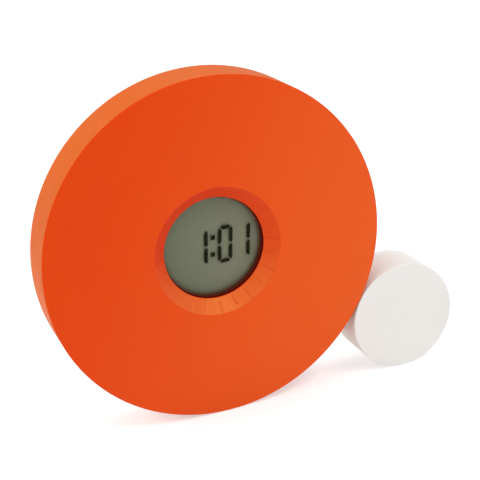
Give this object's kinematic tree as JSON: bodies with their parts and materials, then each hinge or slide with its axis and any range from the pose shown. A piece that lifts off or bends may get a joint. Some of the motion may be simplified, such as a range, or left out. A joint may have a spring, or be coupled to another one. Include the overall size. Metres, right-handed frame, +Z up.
{
  "type": "runaway alarm clock",
  "caption": "Alarm clock in the hub of a large motor-driven disc wheel, with a small trailing roller on an arm behind it; the display stays upright as the wheel rolls.",
  "frame": {"origin": "on the floor, under the middle of the whole object's box", "axes": "+Z up, +X to the right as the display is read, towards the trailing roller, -Y out of the display face; the wheel's axis is along Y"},
  "size_m": [0.1622, 0.0224, 0.13],
  "materials": {
    "orange_plastic": "satin moulded, bright orange",
    "white_plastic": "satin moulded, white",
    "grey_plastic": "moulded, grey",
    "black_plastic": "moulded, black",
    "bezel_plastic": "moulded, very dark red",
    "gear_plastic": "moulded acetal, natural",
    "steel": "plated, bright",
    "lcd_film": "clear polarising film",
    "lcd_glass": "polished",
    "lcd_reflector": "matt, grey-green",
    "lcd_ink": "dark liquid-crystal strokes",
    "zebra_rubber": "soft, striped",
    "circuit_board": "green solder mask",
    "epoxy": "glossy black resin",
    "cell_wrap": "printed sleeve, plain",
    "brass": "plated",
    "paper_cone": "pressed paper, dark",
    "red_button": "satin moulded, bright orange",
    "lead_sleeve": "soft sleeve"
  },
  "bodies": {
    "chassis": {"chassis_plate": "grey_plastic", "hub_bush": "gear_plastic", "display_holder": "bezel_plastic", "front_polariser": "lcd_film", "front_glass": "lcd_glass", "display_digits": "lcd_ink", "rear_glass": "lcd_glass", "reflector": "lcd_reflector", "zebra_strips": "zebra_rubber", "circuit_board": "circuit_board", "board_screws": "steel", "chip_blob": "epoxy", "crystal": "steel", "capacitor": "black_plastic", "transistors": "epoxy", "tact_switches": "black_plastic", "slide_switch": "steel", "gear_pins": "steel", "motor_can": "steel", "motor_end_cap": "black_plastic", "motor_screws": "steel", "battery_tray": "white_plastic", "tray_screws": "steel", "battery_cells": "cell_wrap", "battery_contacts": "steel", "speaker_frame": "steel", "speaker_cone": "paper_cone", "speaker_magnet": "steel", "rear_cover": "white_plastic", "cover_screws": "steel", "tail_arm": "white_plastic", "arm_screws": "steel", "roller_axle": "steel", "axle_clip": "steel", "axle_washer": "gear_plastic", "battery_leads": "lead_sleeve", "motor_leads": "lead_sleeve", "speaker_leads": "lead_sleeve"},
    "wheel": {"wheel_shell": "orange_plastic", "ring_gear": "gear_plastic", "retaining_ring": "steel"},
    "drive_gear": {"drive_gear": "gear_plastic"},
    "reduction_gear": {"reduction_gear": "gear_plastic"},
    "motor_rotor": {"motor_shaft": "steel", "motor_pinion": "brass"},
    "roller": {"roller_shell": "white_plastic", "roller_hub": "grey_plastic"},
    "stop_button": {"stop_button": "red_button"},
    "time_button": {"time_button": "grey_plastic"},
    "alarm_button": {"alarm_button": "grey_plastic"},
    "hour_button": {"hour_button": "grey_plastic"},
    "minute_button": {"minute_button": "grey_plastic"},
    "alarm_slider": {"alarm_slider": "grey_plastic"},
    "battery_door": {"battery_door": "white_plastic"}
  },
  "joints": [
    {"name": "wheel_spin", "type": "hinge", "parent": "chassis", "child": "wheel", "pos_m": [-0.0161, -0.0112, 0.065], "axis": [0, 1, 0], "continuous": true},
    {"name": "drive_gear_spin", "type": "hinge", "parent": "chassis", "child": "drive_gear", "pos_m": [-0.0371, -0.0112, 0.10137], "axis": [0, 1, 0], "continuous": true},
    {"name": "reduction_gear_spin", "type": "hinge", "parent": "chassis", "child": "reduction_gear", "pos_m": [-0.02582, -0.0112, 0.10547], "axis": [0, 1, 0], "continuous": true},
    {"name": "motor_spin", "type": "hinge", "parent": "chassis", "child": "motor_rotor", "pos_m": [-0.01337, -0.0112, 0.10656], "axis": [0, 1, 0], "continuous": true},
    {"name": "roller_spin", "type": "hinge", "parent": "chassis", "child": "roller", "pos_m": [0.05942, -0.0112, 0.02167], "axis": [0, 1, 0], "continuous": true},
    {"name": "stop_press", "type": "slide", "parent": "chassis", "child": "stop_button", "axis": [0, -1, 0], "range_m": [0, 0.0008], "stiffness_N_per_m": 1500},
    {"name": "time_press", "type": "slide", "parent": "chassis", "child": "time_button", "axis": [0, -1, 0], "range_m": [0, 0.0006], "stiffness_N_per_m": 1500},
    {"name": "alarm_press", "type": "slide", "parent": "chassis", "child": "alarm_button", "axis": [0, -1, 0], "range_m": [0, 0.0006], "stiffness_N_per_m": 1500},
    {"name": "hour_press", "type": "slide", "parent": "chassis", "child": "hour_button", "axis": [0, -1, 0], "range_m": [0, 0.0006], "stiffness_N_per_m": 1500},
    {"name": "minute_press", "type": "slide", "parent": "chassis", "child": "minute_button", "axis": [0, -1, 0], "range_m": [0, 0.0006], "stiffness_N_per_m": 1500},
    {"name": "alarm_slide", "type": "slide", "parent": "chassis", "child": "alarm_slider", "axis": [1, 0, 0], "range_m": [0, 0.003]},
    {"name": "door_swing", "type": "hinge", "parent": "chassis", "child": "battery_door", "pos_m": [-0.0161, 0.0093, 0.016], "axis": [-1, 0, 0], "range_deg": [0, 85]}
  ],
  "couplings": [
    {"joint": "drive_gear_spin", "follows": "wheel_spin", "ratio": 8},
    {"joint": "reduction_gear_spin", "follows": "wheel_spin", "ratio": -24},
    {"joint": "motor_spin", "follows": "wheel_spin", "ratio": 96}
  ]
}
